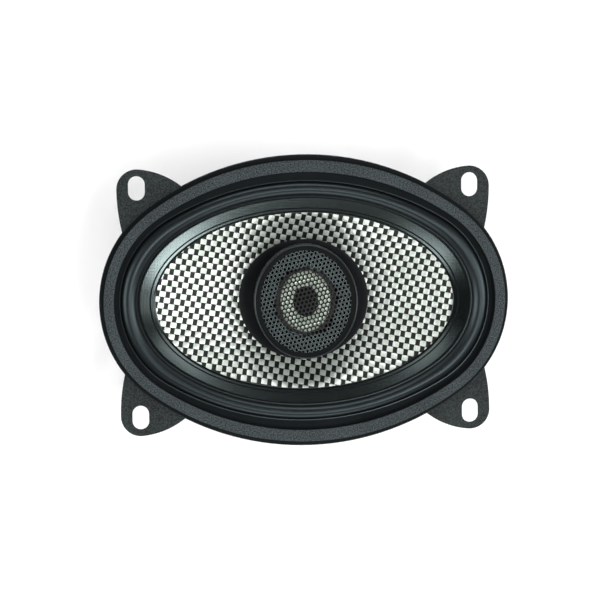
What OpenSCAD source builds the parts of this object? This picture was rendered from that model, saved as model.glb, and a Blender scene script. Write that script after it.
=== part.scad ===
// Oval coaxial car speaker, lying on its magnet with the listening axis along +Z.
// The long axis of the oval runs along X. The origin is the middle of the magnet's back face.

/* [Flange and frame] */
// Half-length of the oval flange, along X
flange_a = 76.8; // [76:0.1:78]
// Half-width of the oval flange, along Y
flange_b = 54.7; // [54.2:0.1:55.5]
// Height of the flange's rear face above the magnet's back
flange_z = 47; // [46.5:0.5:49]
// Thickness of the pressed steel
sheet_t = 1.2; // [1:0.1:1.4]
// Width of one frame spoke
spoke_w = 12; // [9:0.5:14]

/* [Mounting ears] */
// Distance of each slot from the YZ plane
slot_x = 62.2; // [61.5:0.1:63]
// Distance of each slot from the XZ plane
slot_y = 42.8; // [42.2:0.1:43.2]
// Width of a slot, along X
slot_w = 6.2; // [5:0.1:6.6]
// End-to-end length of a slot, along Y
slot_len = 9; // [7:0.1:10]
// Radius of an ear's tip
ear_r = 7.5; // [7:0.1:8]

/* [Front ring and surround] */
// Height of the front ring above the flange
ring_h = 4.3; // [3.5:0.1:5]
// Radius of the surround's half roll
roll_r = 2.9; // [2.5:0.1:3]
// Thickness of the surround's rubber
rubber_t = 0.8; // [0.5:0.1:1]

/* [Cone and voice coil] */
// Depth of the woven cone, from its rim to the neck collar
cone_depth = 9; // [8:0.5:9.5]
// Thickness of the woven cone
cone_t = 0.7; // [0.5:0.1:0.9]
// Inner radius of the voice coil former
former_r = 12.4; // [12.3:0.05:12.5]
// Height of the voice coil winding
winding_h = 7; // [5:0.5:8]

/* [Magnet] */
// Radius of the ferrite ring
ferrite_r = 35; // [32:0.5:36]
// Height of the ferrite ring
ferrite_h = 12; // [10:0.5:12]
// Radius of the back plate and of the top plate
plate_r = 29; // [28:0.5:30]

/* [Tweeter] */
// Half-width of the tweeter's bezel, along X
bezel_a = 19.35; // [19.3:0.05:19.8]
// Half-height of the tweeter's bezel, along Y
bezel_b = 21.4; // [21.2:0.1:21.8]
// Radius of the tweeter's dome
dome_r = 9; // [8.9:0.05:9.1]

/* [Hidden] */
$fn = 96;

eps = 0.01;
cut = 1;                         // how far a cutting tool runs past a face

// Levels, from the magnet's back face up
yoke_t = 5;
ferrite_z = yoke_t;
top_plate_z = ferrite_z + ferrite_h;
top_plate_t = 4;
frame_z = top_plate_z + top_plate_t;
ledge_z = 28.6;                  // underside of the ledge that carries the spider
ledge_top = ledge_z + sheet_t;
collar_z = flange_z - 9;         // lower edge of the frame's oval collar
front_z = flange_z + sheet_t;    // front face of the flange
ring_top = front_z + ring_h;

// Magnetic gap and voice coil
pole_r = 12;
gap_r = 13.6;                    // bore of the top plate
former_t = 0.2;
winding_t = 0.55;
winding_mid = top_plate_z + top_plate_t / 2;
bore_r = 4.05;                   // bore of the pole for the tweeter's post

// Ovals: each is four arcs, whose end arcs are centred at x = -arc_x and arc_x
arc_x = 33.4;
collar_a = flange_a - 6.1;
collar_b = flange_b - 8.0;
roll_a = flange_a - 11.2;        // middle line of the surround's roll
roll_b = flange_b - 12.9;
lip_s = 9.2;                     // how far the surround's lip reaches outside that line
land_s = 9.5;                    // how far its inner land reaches inside that line
land_drop = 1;                   // how far the land slopes down to its inner edge
ring_out = [flange_a - 1.8, flange_b - 2.1];
ring_in = [flange_a - 5.7, flange_b - 6.6];

// Cone rows, each as [half-length, half-width, height]
cone_rim = [roll_a - 3.3, roll_b - 3.05, front_z - 0.25];
cone_edge = [roll_a - 10, roll_b - 9, front_z - land_drop - 0.1];
cone_foot = [24, 21.2, front_z - cone_depth];
collar_foot_z = front_z - 14.2;

// Tweeter heights
tw_z = front_z - 6.7;            // underside of the tweeter's housing
housing_r = 18.3;
housing_wall = 1.4;
housing_floor = 1.6;
housing_h = 9;
tw_frame_z = tw_z + 6.3;
tw_frame_t = 1.55;
cup_z = tw_z + 3.5;
cup_h = tw_frame_z + tw_frame_t - cup_z;
grille_z = tw_z + 10.1;
grille_t = 0.6;
bezel_z = tw_z + 4.5;
bezel_top = tw_z + 11.7;
grille_view = [bezel_a - 2.55, bezel_b - 2.4];

// Terminal board
board_x = 37;
board_len = 19;
board_w = 26;
board_t = 1.6;
board_z = ledge_z - board_t;
tab_y = 9;
tab_t = 0.8;
wire_r = 0.6;
tinsel_r = 0.5;
lead_r = 0.35;

// ---- shared shapes ----

// An oval's end arcs are a hair larger than tangent to its side arcs, so that they cross cleanly
join = 0.02;
function side_drop(a, b, cx) =
    let (h = b - (a - cx - join))
    (cx * cx - h * h) / (2 * h);

// Flat oval with half-length a and half-width b, made of four arcs
module oval(a, b, cx = arc_x) {
    drop = side_drop(a, b, cx);
    way = [cx, drop] / norm([cx, drop]) * 2 * a;
    for (s = [-1, 1])
        translate([s * cx, 0])
            circle(r = a - cx);
    intersection() {
        translate([0, drop])
            circle(r = b + drop);
        translate([0, -drop])
            circle(r = b + drop);
        polygon([
            [cx, 0], [cx + way[0], way[1]], [-cx - way[0], way[1]],
            [-cx, 0], [-cx - way[0], -way[1]], [cx + way[0], -way[1]]
        ]);
    }
}

module oval_block(a, b, z0, z1, cx = arc_x) {
    translate([0, 0, z0])
        linear_extrude(height = z1 - z0)
            oval(a, b, cx);
}

module oval_band(outer, inner, z0, z1, cx = arc_x) {
    difference() {
        oval_block(outer[0], outer[1], z0, z1, cx);
        oval_block(inner[0], inner[1], z0 - cut, z1 + cut, cx);
    }
}

module ring(r_out, r_in, z0, z1) {
    difference() {
        translate([0, 0, z0])
            cylinder(r = r_out, h = z1 - z0);
        translate([0, 0, z0 - cut])
            cylinder(r = r_in, h = z1 - z0 + 2 * cut);
    }
}

module disc(r, z0, z1) {
    translate([0, 0, z0])
        cylinder(r = r, h = z1 - z0);
}

// Closed shell through ellipses: rows of [half-length, half-width, height] in a closed loop
module loft(rows, n = 72) {
    k = len(rows);
    points = [
        for (row = rows, i = [0 : n - 1])
            [row[0] * cos(360 * i / n), row[1] * sin(360 * i / n), row[2]]
    ];
    faces = [
        for (j = [0 : k - 1], i = [0 : n - 1])
            let (
                p = j * n + i,
                q = j * n + (i + 1) % n,
                u = ((j + 1) % k) * n + i,
                v = ((j + 1) % k) * n + (i + 1) % n
            )
            each [[p, u, v], [p, v, q]]
    ];
    polyhedron(points, faces);
}

function mix(p, q, t) = p + (q - p) * t;

// Point at t on the smooth curve through route, which runs from 0 to the last point's index
function curve_point(route, t) =
    let (
        last = len(route) - 1,
        i = min(floor(t), last - 1),
        u = t - i,
        p0 = route[max(i - 1, 0)],
        p1 = route[i],
        p2 = route[i + 1],
        p3 = route[min(i + 2, last)]
    )
    0.5 * (2 * p1 + (p2 - p0) * u
        + (2 * p0 - 5 * p1 + 4 * p2 - p3) * u * u
        + (3 * p1 - p0 - 3 * p2 + p3) * u * u * u);

// Round wire of radius r along route, none of which runs straight along Y
module wire(route, r, steps = 3, sides = 8) {
    n = (len(route) - 1) * steps;
    line = [for (i = [0 : n]) curve_point(route, i / steps)];
    points = [
        for (i = [0 : n])
            let (
                run = line[min(i + 1, n)] - line[max(i - 1, 0)],
                along = run / norm(run),
                side = cross(along, [0, 1, 0]),
                across = side / norm(side),
                up = cross(along, across)
            )
            for (k = [0 : sides - 1])
                line[i] + r * (across * cos(360 * k / sides) + up * sin(360 * k / sides))
    ];
    walls = [
        for (i = [0 : n - 1], k = [0 : sides - 1])
            let (
                p = i * sides + k,
                q = i * sides + (k + 1) % sides
            )
            each [[p, q, q + sides], [p, q + sides, p + sides]]
    ];
    polyhedron(points, concat(
        walls,
        [[for (k = [sides - 1 : -1 : 0]) k]],
        [[for (k = [0 : sides - 1]) n * sides + k]]
    ));
}

// ---- frame ----

// Outline of the right upper ear, whose two flanks are arcs tangent to its round tip
module ear_outline() {
    tip = [slot_x - 0.1, slot_y - 0.5];
    top_dir = [cos(95), sin(95)];
    top_r = 29.5;
    side_r = 70;
    translate(tip)
        circle(r = ear_r);
    intersection() {
        translate(tip - (top_r - ear_r) * top_dir)
            circle(r = top_r);
        translate(tip - [side_r - ear_r, 0])
            circle(r = side_r);
        polygon([
            tip, tip + 20 * top_dir, [20, tip[1] + 20], [20, 0],
            [tip[0] + 20, 0], [tip[0] + 20, tip[1]]
        ]);
    }
}

module slot_outline() {
    reach = (slot_len - slot_w) / 2;
    for (s = [-1, 1])
        translate([slot_x, slot_y + s * reach])
            circle(r = slot_w / 2);
    translate([slot_x, slot_y])
        square([slot_w, 2 * reach], center = true);
}

module to_four_corners() {
    for (mx = [0, 1], my = [0, 1])
        mirror([mx, 0])
            mirror([0, my])
                children();
}

module flange_outline() {
    difference() {
        union() {
            oval(flange_a, flange_b);
            to_four_corners()
                ear_outline();
        }
        oval(collar_a + seat_gap, collar_b + seat_gap);
        to_four_corners()
            slot_outline();
    }
}

SPOKES = [30, 90, 150, 210, 270, 330];
ledge_r = 35;
cup_wall_r = 31;
shelf_w = 3.2;                   // width of the collar's lower shelf, which the spokes meet
seat_gap = 0.02;                 // left between the frame's sheet parts where they meet

// One slanted spoke at an angle round Z, with a stiffening rib under it
module spoke(angle) {
    foot = 33.5;
    bend = 1 / norm([cos(angle) / (collar_a - 3), sin(angle) / (collar_b - 3)]);
    tip = bend + 12;
    top = collar_z;
    rib_w = 3;
    rib_h = 0.8;
    rotate([0, 0, angle])
        rotate([90, 0, 0]) {
            linear_extrude(height = spoke_w, center = true)
                polygon([
                    [foot, ledge_z], [ledge_r, ledge_z], [bend, top], [tip, top],
                    [tip, top + sheet_t], [bend, top + sheet_t],
                    [ledge_r, ledge_z + sheet_t], [foot, ledge_z + sheet_t]
                ]);
            linear_extrude(height = rib_w, center = true)
                polygon([
                    [ledge_r - 0.5, ledge_z - rib_h], [ledge_r + 1, ledge_z - rib_h],
                    [bend, top - rib_h], [bend + 1, top + sheet_t / 2],
                    [ledge_r - 0.5, ledge_z + sheet_t / 2]
                ]);
        }
}

screw_at = 24.5;
screw_r = 1.95;

module at_screws() {
    for (angle = [45 : 90 : 315])
        rotate([0, 0, angle])
            translate([screw_at, 0, 0])
                children();
}

bracket_end = 46;
bracket_w = 10;
board_rivet_x = 41;
board_rivet_y = 3;
rivet_r = 1.2;

module at_board_rivets() {
    for (s = [-1, 1])
        translate([board_rivet_x, s * board_rivet_y, 0])
            children();
}

// The pressed frame is one sheet, modelled as its flat flange, its oval collar and its basket
module flange() {
    color("#23262a")
    translate([0, 0, flange_z])
        linear_extrude(height = sheet_t)
            flange_outline();
}

module basket_collar() {
    color("#23262a")
    union() {
        oval_band([collar_a, collar_b], [collar_a - sheet_t, collar_b - sheet_t],
            collar_z, front_z);
        oval_band([collar_a - eps, collar_b - eps], [collar_a - shelf_w, collar_b - shelf_w],
            collar_z, collar_z + sheet_t);
    }
}

module basket() {
    color("#23262a")
    difference() {
        union() {
            intersection() {
                union() {
                    for (angle = SPOKES)
                        spoke(angle);
                }
                oval_block(collar_a - shelf_w - seat_gap, collar_b - shelf_w - seat_gap, 0, flange_z);
            }
            ring(ledge_r, cup_wall_r - sheet_t, ledge_z, ledge_top);
            ring(cup_wall_r, cup_wall_r - sheet_t, frame_z, ledge_top - eps);
            ring(cup_wall_r - eps, 18.5, frame_z, frame_z + sheet_t);
            translate([cup_wall_r + 2, -bracket_w / 2, ledge_z])
                cube([bracket_end - cup_wall_r - 2, bracket_w, sheet_t]);
        }
        at_screws()
            disc(screw_r + 0.1, frame_z - cut, frame_z + sheet_t + cut);
        at_board_rivets()
            disc(rivet_r, ledge_z - cut, ledge_top + cut);
    }
}

// Raised ring, resting on the surround's lip and clamping it to the flange
module front_ring() {
    color("#4a4d52")
    oval_band(ring_out, ring_in, front_z + rubber_t, ring_top);
}

// ---- moving cone ----

// Points [distance outside the roll's middle line, height] along an arc over that line
function arc_points(mid, r, from, to, steps = 8) = [
    for (i = [0 : steps])
        let (turn = from + (to - from) * i / steps)
        [r * cos(turn), mid + r * sin(turn)]
];

// Lip under the front ring, half roll and inner land, as one skin
module surround() {
    mid = front_z + rubber_t / 2;
    top = front_z + rubber_t;
    inner_r = roll_r - rubber_t;
    shoulder = asin(rubber_t / 2 / roll_r);
    profile = concat(
        [[lip_s, front_z], [lip_s, top]],
        arc_points(mid, roll_r, shoulder, 180 - shoulder),
        [[-land_s, top - land_drop], [-land_s, front_z - land_drop], [-inner_r, front_z]],
        arc_points(mid, inner_r, 180, 0),
        [[inner_r, front_z]]
    );
    color("#1b1d1f")
    loft([for (p = profile) [roll_a + p[0], roll_b + p[0], p[1]]]);
}

module cone() {
    down = [0, 0, -cone_t];
    edge_in = [cone_edge[0] - 1.2, cone_edge[1] - 0.9, cone_edge[2] - 0.5];
    color("#c9ccc8")
    loft([
        cone_rim, cone_edge, edge_in, mix(edge_in, cone_foot, 0.5) - [0, 0, 0.3], cone_foot,
        cone_foot + down, mix(edge_in, cone_foot, 0.5) + down - [0, 0, 0.3], edge_in + down,
        cone_edge + down, cone_rim + down
    ]);
}

module neck_collar() {
    down = [0, 0, -0.7];
    gap = [0, 0, -cone_t - 0.1];
    lap = mix(cone_foot, cone_edge, 0.05) + gap - [0, 0, 0.3];
    bend = cone_foot + gap - [0, 0, 0.05];
    half = [18.5, 17.5, front_z - 12.3];
    neck_r = former_r + former_t + 0.05;
    color("#17181a")
    loft([
        lap, bend, half, [neck_r + 0.8, neck_r + 0.8, collar_foot_z + 0.3],
        [neck_r, neck_r, collar_foot_z + 0.1], [neck_r, neck_r, collar_foot_z - 0.9],
        [neck_r + 0.9, neck_r + 0.9, collar_foot_z - 0.5], half + down, bend + down, lap + down
    ]);
}

module voice_coil_former() {
    color("#b08a4a")
    ring(former_r + former_t, former_r, winding_mid - winding_h / 2 - 0.3, collar_foot_z + 0.6);
}

module voice_coil_winding() {
    inner = former_r + former_t;
    color("#a8582f")
    ring(inner + winding_t, inner, winding_mid - winding_h / 2, winding_mid + winding_h / 2);
}

eyelet_x = 36.5;
eyelet_y = 7;
eyelet_z = front_z - 7.6;

module lead_eyelets() {
    color("#c0b070")
    for (s = [-1, 1])
        translate([eyelet_x, s * eyelet_y, eyelet_z])
            cylinder(r = 1.5, h = 0.7);
}

// Corrugated disc: flat at both edges, waved between them
module spider() {
    inner = former_r + former_t + 0.05;
    wave_in = inner + 2.2;
    wave_out = 30.6;
    waves = 4;
    wave_h = 0.9;
    rise = 0.8;
    t = 0.4;
    steps = 32;
    top = concat(
        [[inner, ledge_top + rise + t]],
        [
            for (i = [0 : steps])
                let (
                    u = i / steps,
                    lift = rise * (1 - u)
                )
                [
                    wave_in + (wave_out - wave_in) * u,
                    ledge_top + t + lift - wave_h * sin(360 * waves * u)
                ]
        ],
        [[34.5, ledge_top + t]]
    );
    under = [for (i = [len(top) - 1 : -1 : 0]) top[i] - [0, t]];
    color("#8a6a2c")
    rotate_extrude()
        polygon(concat(top, under));
}

// ---- magnet ----

module t_yoke() {
    nut_pocket_r = 8;
    groove_w = 3.6;
    groove_h = 2.2;
    color("#6d7278")
    difference() {
        union() {
            disc(plate_r, 0, yoke_t);
            disc(pole_r, 0, frame_z + 0.5);
        }
        disc(bore_r, -cut, frame_z + cut);
        disc(nut_pocket_r, -cut, 4.4);
        translate([0, -groove_w / 2, -cut])
            cube([plate_r + cut, groove_w, groove_h + cut]);
    }
}

module ferrite_magnet() {
    color("#303236")
    ring(ferrite_r, 16, ferrite_z, top_plate_z);
}

module top_plate() {
    color("#7c8187")
    difference() {
        ring(plate_r, gap_r, top_plate_z, frame_z);
        at_screws()
            disc(screw_r + 0.05, top_plate_z + 0.5, frame_z + cut);
    }
}

module motor_screws() {
    head_r = 3.4;
    head_h = 1.9;
    seat = frame_z + sheet_t;
    color("#9a9da1")
    at_screws()
        difference() {
            union() {
                disc(screw_r, top_plate_z + 0.6, seat + eps);
                disc(head_r, seat, seat + head_h);
            }
            for (turn = [0, 90])
                rotate([0, 0, turn])
                    translate([-2.1, -0.35, seat + head_h - 1.1])
                        cube([4.2, 0.7, 2]);
        }
}

// ---- tweeter ----

post_end_z = 2.1;                // lower end of the post and of its nut, inside the yoke's pocket

module tweeter_post() {
    shaft_r = 4;
    wire_way_r = 2.4;
    shoulder_z = frame_z + 0.5;
    color("#2b2d30")
    difference() {
        union() {
            disc(shaft_r, post_end_z, shoulder_z + eps);
            disc(7, shoulder_z, shoulder_z + 2);
            disc(5.5, shoulder_z + 2 - eps, tw_z);
            disc(3.2, tw_z - eps, tw_z + 3.3);
        }
        disc(wire_way_r, 0, tw_z + 5);
    }
}

module post_nut() {
    across_corners = 12.7;
    color("#a7abb0")
    difference() {
        translate([0, 0, post_end_z])
            cylinder(d = across_corners, h = 2.3, $fn = 6);
        disc(4, 0, 5);
    }
}

module housing_nut() {
    across_corners = 10;
    seat = tw_z + housing_floor;
    color("#a7abb0")
    difference() {
        translate([0, 0, seat])
            cylinder(d = across_corners, h = 1.5, $fn = 6);
        disc(3.2, seat - cut, seat + 3);
    }
}

module tweeter_housing() {
    inner_r = housing_r - housing_wall;
    color("#1d1f21")
    difference() {
        disc(housing_r, tw_z, tw_z + housing_h);
        disc(inner_r, tw_frame_z, tw_z + housing_h + cut);
        disc(inner_r - 1.4, tw_z + housing_floor, tw_frame_z + cut);
        disc(3.25, tw_z - cut, tw_z + housing_floor + cut);
    }
}

// The tweeter's oval stands upright, so its half-height comes first and it is turned by 90 degrees
module upright_block(size, z0, z1) {
    rotate([0, 0, 90])
        oval_block(size[1], size[0], z0, z1, 4);
}

module tweeter_bezel() {
    seat = tw_z + housing_h;
    color("#222427")
    difference() {
        upright_block([bezel_a, bezel_b], bezel_z, bezel_top);
        disc(housing_r + 0.05, bezel_z - cut, seat);
        upright_block(grille_view, grille_z, bezel_top + cut);
        upright_block(grille_view + [0.6, 0.6], grille_z, grille_z + grille_t + 0.05);
        upright_block(grille_view - [0.6, 0.7], seat - cut, bezel_top);
    }
}

module tweeter_grille() {
    color("#3d4144")
    upright_block(grille_view + [0.5, 0.5], grille_z, grille_z + grille_t);
}

module tweeter_frame() {
    color("#2a2c2e")
    ring(housing_r - housing_wall - 0.1, dome_r + 2.6, tw_frame_z, tw_frame_z + tw_frame_t);
}

module tweeter_cup() {
    color("#8b9096")
    difference() {
        disc(dome_r + 2.6, cup_z, cup_z + cup_h);
        disc(dome_r + 0.6, cup_z + 1, cup_z + cup_h + cut);
    }
}

module tweeter_magnet() {
    color("#b9bcc0")
    disc(dome_r - 0.7, cup_z + 1, cup_z + 3.2);
}

module tweeter_pole_plate() {
    color("#8b9096")
    disc(dome_r - 0.5, cup_z + 3.2, cup_z + cup_h);
}

dome_z = tw_frame_z + tw_frame_t + 0.35;
dome_t = 0.25;

module tweeter_surround() {
    color("#1a1b1c")
    ring(dome_r + 3.4, dome_r + 0.35, dome_z - 0.35, dome_z - 0.1);
}

module tweeter_dome() {
    rise = 1.1;
    sphere_r = (dome_r * dome_r + rise * rise) / (2 * rise);
    centre_z = dome_z + dome_t + rise - sphere_r;
    color("#d5d7d8")
    union() {
        difference() {
            intersection() {
                translate([0, 0, centre_z])
                    sphere(r = sphere_r);
                disc(dome_r, dome_z, dome_z + 5);
            }
            translate([0, 0, centre_z])
                sphere(r = sphere_r - dome_t);
        }
        ring(dome_r + 0.2, dome_r - 0.3, dome_z - 0.1, dome_z + 0.3);
    }
}

module tweeter_coil() {
    color("#a8582f")
    ring(dome_r + 0.2, dome_r - 0.18, dome_z - 2.2, dome_z - 0.1);
}

// ---- terminals and wiring ----

module at_tab_rivets() {
    for (s = [-1, 1])
        translate([46, s * tab_y, 0])
            children();
}

module terminal_board() {
    color("#5a4632")
    difference() {
        translate([board_x, -board_w / 2, board_z])
            cube([board_len, board_w, board_t]);
        at_board_rivets()
            disc(rivet_r, board_z - cut, ledge_z + cut);
        at_tab_rivets()
            disc(rivet_r, board_z - cut, ledge_z + cut);
    }
}

module rivet(z0, z1) {
    disc(rivet_r, z0 - eps, z1 + eps);
    disc(rivet_r + 0.8, z0 - 0.5, z0);
    disc(rivet_r + 0.8, z1, z1 + 0.5);
}

module board_rivets() {
    color("#c5c8cb")
    at_board_rivets()
        rivet(board_z, ledge_top);
}

module tab_rivets() {
    color("#c5c8cb")
    at_tab_rivets()
        rivet(board_z, ledge_z + tab_t);
}

// Flat blade lying on the board: its end stands clear of the board as a push-on terminal
module blade(width, y) {
    blade_end = 65;
    difference() {
        translate([39.5, y - width / 2, ledge_z])
            cube([blade_end - 39.5, width, tab_t]);
        translate([46, y, 0])
            disc(rivet_r, ledge_z - cut, ledge_z + tab_t + cut);
        translate([60.5, y, 0])
            disc(0.8, ledge_z - cut, ledge_z + tab_t + cut);
    }
}

module positive_tab() {
    color("#d0c9a8")
    blade(6.3, tab_y);
}

module negative_tab() {
    color("#d0d2d4")
    blade(4.8, -tab_y);
}

cap_r = 4;
cap_len = 13;
cap_x = 50;
cap_z = board_z - cap_r - 0.02;

module capacitor() {
    color("#2f3f6b")
    translate([cap_x, 0, cap_z])
        rotate([90, 0, 0])
            cylinder(r = cap_r, h = cap_len, center = true);
}

module capacitor_leads() {
    start = cap_len / 2 + 0.02;
    out = cap_len / 2 + 1.5;
    color("#c9ccce")
    for (s = [-1, 1]) {
        translate([cap_x, s * start, cap_z])
            rotate([-90 * s, 0, 0])
                cylinder(r = lead_r, h = out + lead_r - start);
        translate([cap_x, s * out, cap_z])
            cylinder(r = lead_r, h = board_z - cap_z - eps);
    }
}

// Flexible braids from the tabs' inner ends up to the eyelets under the cone
module tinsel_leads() {
    lead_top = eyelet_z - 0.05;
    color("#b5793a")
    for (s = [-1, 1])
        wire([
            [40.6, s * 8.6, ledge_z + tab_t + 0.25], [41.2, s * 8.55, 31.2], [41.8, s * 8.3, 33.5],
            [40.6, s * 8, 36],
            [38.4, s * 7.5, 38], [36.9, s * 7.1, lead_top - 1], [36.5, s * 7, lead_top]
        ], tinsel_r);
}

// Pair of wires from inside the tweeter, down through the post and pole, and out to the board
module tweeter_wires() {
    color("#8d2a24")
    for (s = [-1, 1])
        wire([
            [0, s * 0.9, tw_z + 3.3], [0, s * 0.9, 36], [0, s * 0.9, 20], [0, s * 0.9, 6],
            [0.7, s * 0.9, 2.6], [2.6, s * 0.9, 1.25], [6, s * 0.9, 1.2], [16, s * 0.9, 1.2],
            [27, s * 0.9, 1.2], [33, s * 0.9, 1.5], [36.4, s * 0.9, 4], [36.6, s * 0.9, 10],
            [36.6, s * 0.9, 18], [37.2, s * 1.5, 22], [38.2, s * 3, 24.8],
            [39, s * 5.2, board_z - 0.6]
        ], wire_r);
}

flange();
basket_collar();
basket();
front_ring();
surround();
cone();
neck_collar();
spider();
voice_coil_former();
voice_coil_winding();
lead_eyelets();
t_yoke();
ferrite_magnet();
top_plate();
motor_screws();
tweeter_post();
post_nut();
housing_nut();
tweeter_housing();
tweeter_bezel();
tweeter_grille();
tweeter_frame();
tweeter_cup();
tweeter_magnet();
tweeter_pole_plate();
tweeter_surround();
tweeter_dome();
tweeter_coil();
terminal_board();
board_rivets();
positive_tab();
negative_tab();
tab_rivets();
capacitor();
capacitor_leads();
tinsel_leads();
tweeter_wires();
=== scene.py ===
import math

import bpy
import numpy as np
from mathutils import Matrix, Vector


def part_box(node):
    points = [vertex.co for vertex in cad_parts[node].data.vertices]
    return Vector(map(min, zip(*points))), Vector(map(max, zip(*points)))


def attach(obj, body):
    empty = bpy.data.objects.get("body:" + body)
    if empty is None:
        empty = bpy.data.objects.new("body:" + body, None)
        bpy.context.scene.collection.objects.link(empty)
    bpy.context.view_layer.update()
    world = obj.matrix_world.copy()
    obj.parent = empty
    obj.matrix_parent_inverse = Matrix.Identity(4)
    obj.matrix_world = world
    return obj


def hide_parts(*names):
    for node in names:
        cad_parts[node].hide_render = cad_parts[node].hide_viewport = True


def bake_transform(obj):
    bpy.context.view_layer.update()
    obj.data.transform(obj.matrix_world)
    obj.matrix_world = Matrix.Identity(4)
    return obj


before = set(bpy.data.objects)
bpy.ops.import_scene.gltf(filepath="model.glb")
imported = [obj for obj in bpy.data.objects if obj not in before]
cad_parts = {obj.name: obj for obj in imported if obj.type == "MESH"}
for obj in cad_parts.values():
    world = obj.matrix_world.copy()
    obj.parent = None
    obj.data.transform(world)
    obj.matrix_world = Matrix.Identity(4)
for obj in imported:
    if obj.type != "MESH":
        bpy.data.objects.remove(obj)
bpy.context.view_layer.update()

MM = 0.001
WHITE = (1, 1, 1, 1)
FRAME = "frame"
CONE = "moving_cone"
DIAPHRAGM = "tweeter_diaphragm"

# ---- levels and ovals, from the CAD nodes' boxes ----

FLANGE_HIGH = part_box("flange")[1]
RING_LOW, RING_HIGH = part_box("front_ring")
BEZEL_LOW, BEZEL_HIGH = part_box("tweeter_bezel")

END_CENTRE = 33.4 * MM                  # the ovals' end arcs turn about this point of the X axis
FLANGE = np.array([FLANGE_HIGH.x, FLANGE_HIGH.y])
FLANGE_TOP = FLANGE_HIGH.z
RING_OUT = np.array([RING_HIGH.x, RING_HIGH.y])
RING_IN = RING_OUT - np.array([3.9, 4.5]) * MM
LIP_Z = RING_LOW.z
RING_Z = RING_HIGH.z


def oval(size, count, centre=END_CENTRE):
    """Points round an oval of four arcs, evenly spread by the direction of its edge."""
    a, b = size
    end_r = a - centre
    rise = b - end_r
    drop = (centre * centre - rise * rise) / (2 * rise)
    side_r = b + drop
    split = math.atan2(drop, centre)
    turn = np.linspace(0, 2 * math.pi, count, endpoint=False)
    c, s = np.cos(turn), np.sin(turn)
    on_end = np.abs(s) < math.sin(split)
    x = np.where(on_end, np.sign(c) * centre + end_r * c, side_r * c)
    y = np.where(on_end, end_r * s, side_r * s - np.sign(s) * drop)
    return np.stack([x, y], 1)


def ellipse(size, count):
    turn = np.linspace(0, 2 * math.pi, count, endpoint=False)
    return np.stack([size[0] * np.cos(turn), size[1] * np.sin(turn)], 1)


def upright(size, count):
    """An oval whose long way is along Y, as the tweeter's is."""
    flat = oval((size[1], size[0]), count, 4 * MM)
    return np.stack([-flat[:, 1], flat[:, 0]], 1)


# ---- mesh helpers ----

def new_object(name, points, faces, material, smooth_angle=35):
    mesh = bpy.data.meshes.new(name)
    mesh.from_pydata([tuple(p) for p in points], [], [tuple(f) for f in faces])
    mesh.validate()
    mesh.update()
    mesh.shade_smooth()
    mesh.set_sharp_from_angle(angle=math.radians(smooth_angle))
    piece = bpy.data.objects.new(name, mesh)
    bpy.context.scene.collection.objects.link(piece)
    mesh.materials.append(material)
    return piece


def strip_faces(rows, count, close_rows):
    """Quads between rows of count points each, closed round each row."""
    faces = []
    for j in range(rows if close_rows else rows - 1):
        k = (j + 1) % rows
        for i in range(count):
            n = (i + 1) % count
            faces.append((j * count + i, j * count + n, k * count + n, k * count + i))
    return faces


def swept(name, outlines, heights, material, smooth_angle=35):
    """A closed skin through closed outlines, each at its own height."""
    count = len(outlines[0])
    points = np.concatenate([
        np.column_stack([o, np.full(count, z)]) for o, z in zip(outlines, heights)
    ])
    return new_object(name, points, strip_faces(len(outlines), count, True), material, smooth_angle)


def paint_rows(piece, count, rows, slot):
    """Gives the strips that start at these rows of points another of the piece's materials."""
    for face in piece.data.polygons:
        if face.vertices[0] // count in rows:
            face.material_index = slot


def smooth_path(knots, steps):
    """A curve through the knots, with steps points between each pair."""
    padded = np.vstack([2 * knots[0] - knots[1], knots, 2 * knots[-1] - knots[-2]])
    t = np.linspace(0, 1, steps, endpoint=False)[:, None]
    found = []
    for a, b, c, d in zip(padded, padded[1:], padded[2:], padded[3:]):
        found.append(0.5 * (2 * b + (c - a) * t + (2 * a - 5 * b + 4 * c - d) * t ** 2
                            + (3 * b - a - 3 * c + d) * t ** 3))
    return np.vstack(found + [knots[-1:]])


def strand(name, path, radius, material, sides):
    """A twisted lead of a few lobes along a path."""
    lobes = 3
    twist = 900.0                        # turn in radians for each metre
    dip = 0.14                           # depth between the lobes, as a share of the radius
    ahead = np.gradient(path, axis=0)
    ahead /= np.linalg.norm(ahead, axis=1, keepdims=True)
    side = np.cross(ahead, (0.0, 1.0, 0.0))
    side /= np.linalg.norm(side, axis=1, keepdims=True)
    other = np.cross(ahead, side)
    run = np.concatenate([[0], np.cumsum(np.linalg.norm(np.diff(path, axis=0), axis=1))])
    turn = np.linspace(0, 2 * math.pi, sides, endpoint=False)
    points = []
    for centre, u, v, along in zip(path, side, other, run):
        size = radius * (1 - dip + dip * np.cos(lobes * (turn + twist * along)))[:, None]
        points.append(centre + size * (np.cos(turn)[:, None] * u + np.sin(turn)[:, None] * v))
    faces = strip_faces(len(path), sides, False)
    faces += [tuple(range(sides))[::-1], tuple(range((len(path) - 1) * sides, len(path) * sides))]
    return new_object(name, np.vstack(points), faces, material, 60)


def set_weights(piece):
    """Bakes the piece's placement into its points. It sets no weights and ties the piece to neither
    body.
    """
    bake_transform(piece)


def smooth_step(t):
    t = np.clip(t, 0, 1)
    return t * t * (3 - 2 * t)


# ---- materials ----

def srgb(*rgb):
    return tuple((c / 12.92 if c <= 0.04045 else ((c + 0.055) / 1.055) ** 2.4) for c in rgb) + (1,)


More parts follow.
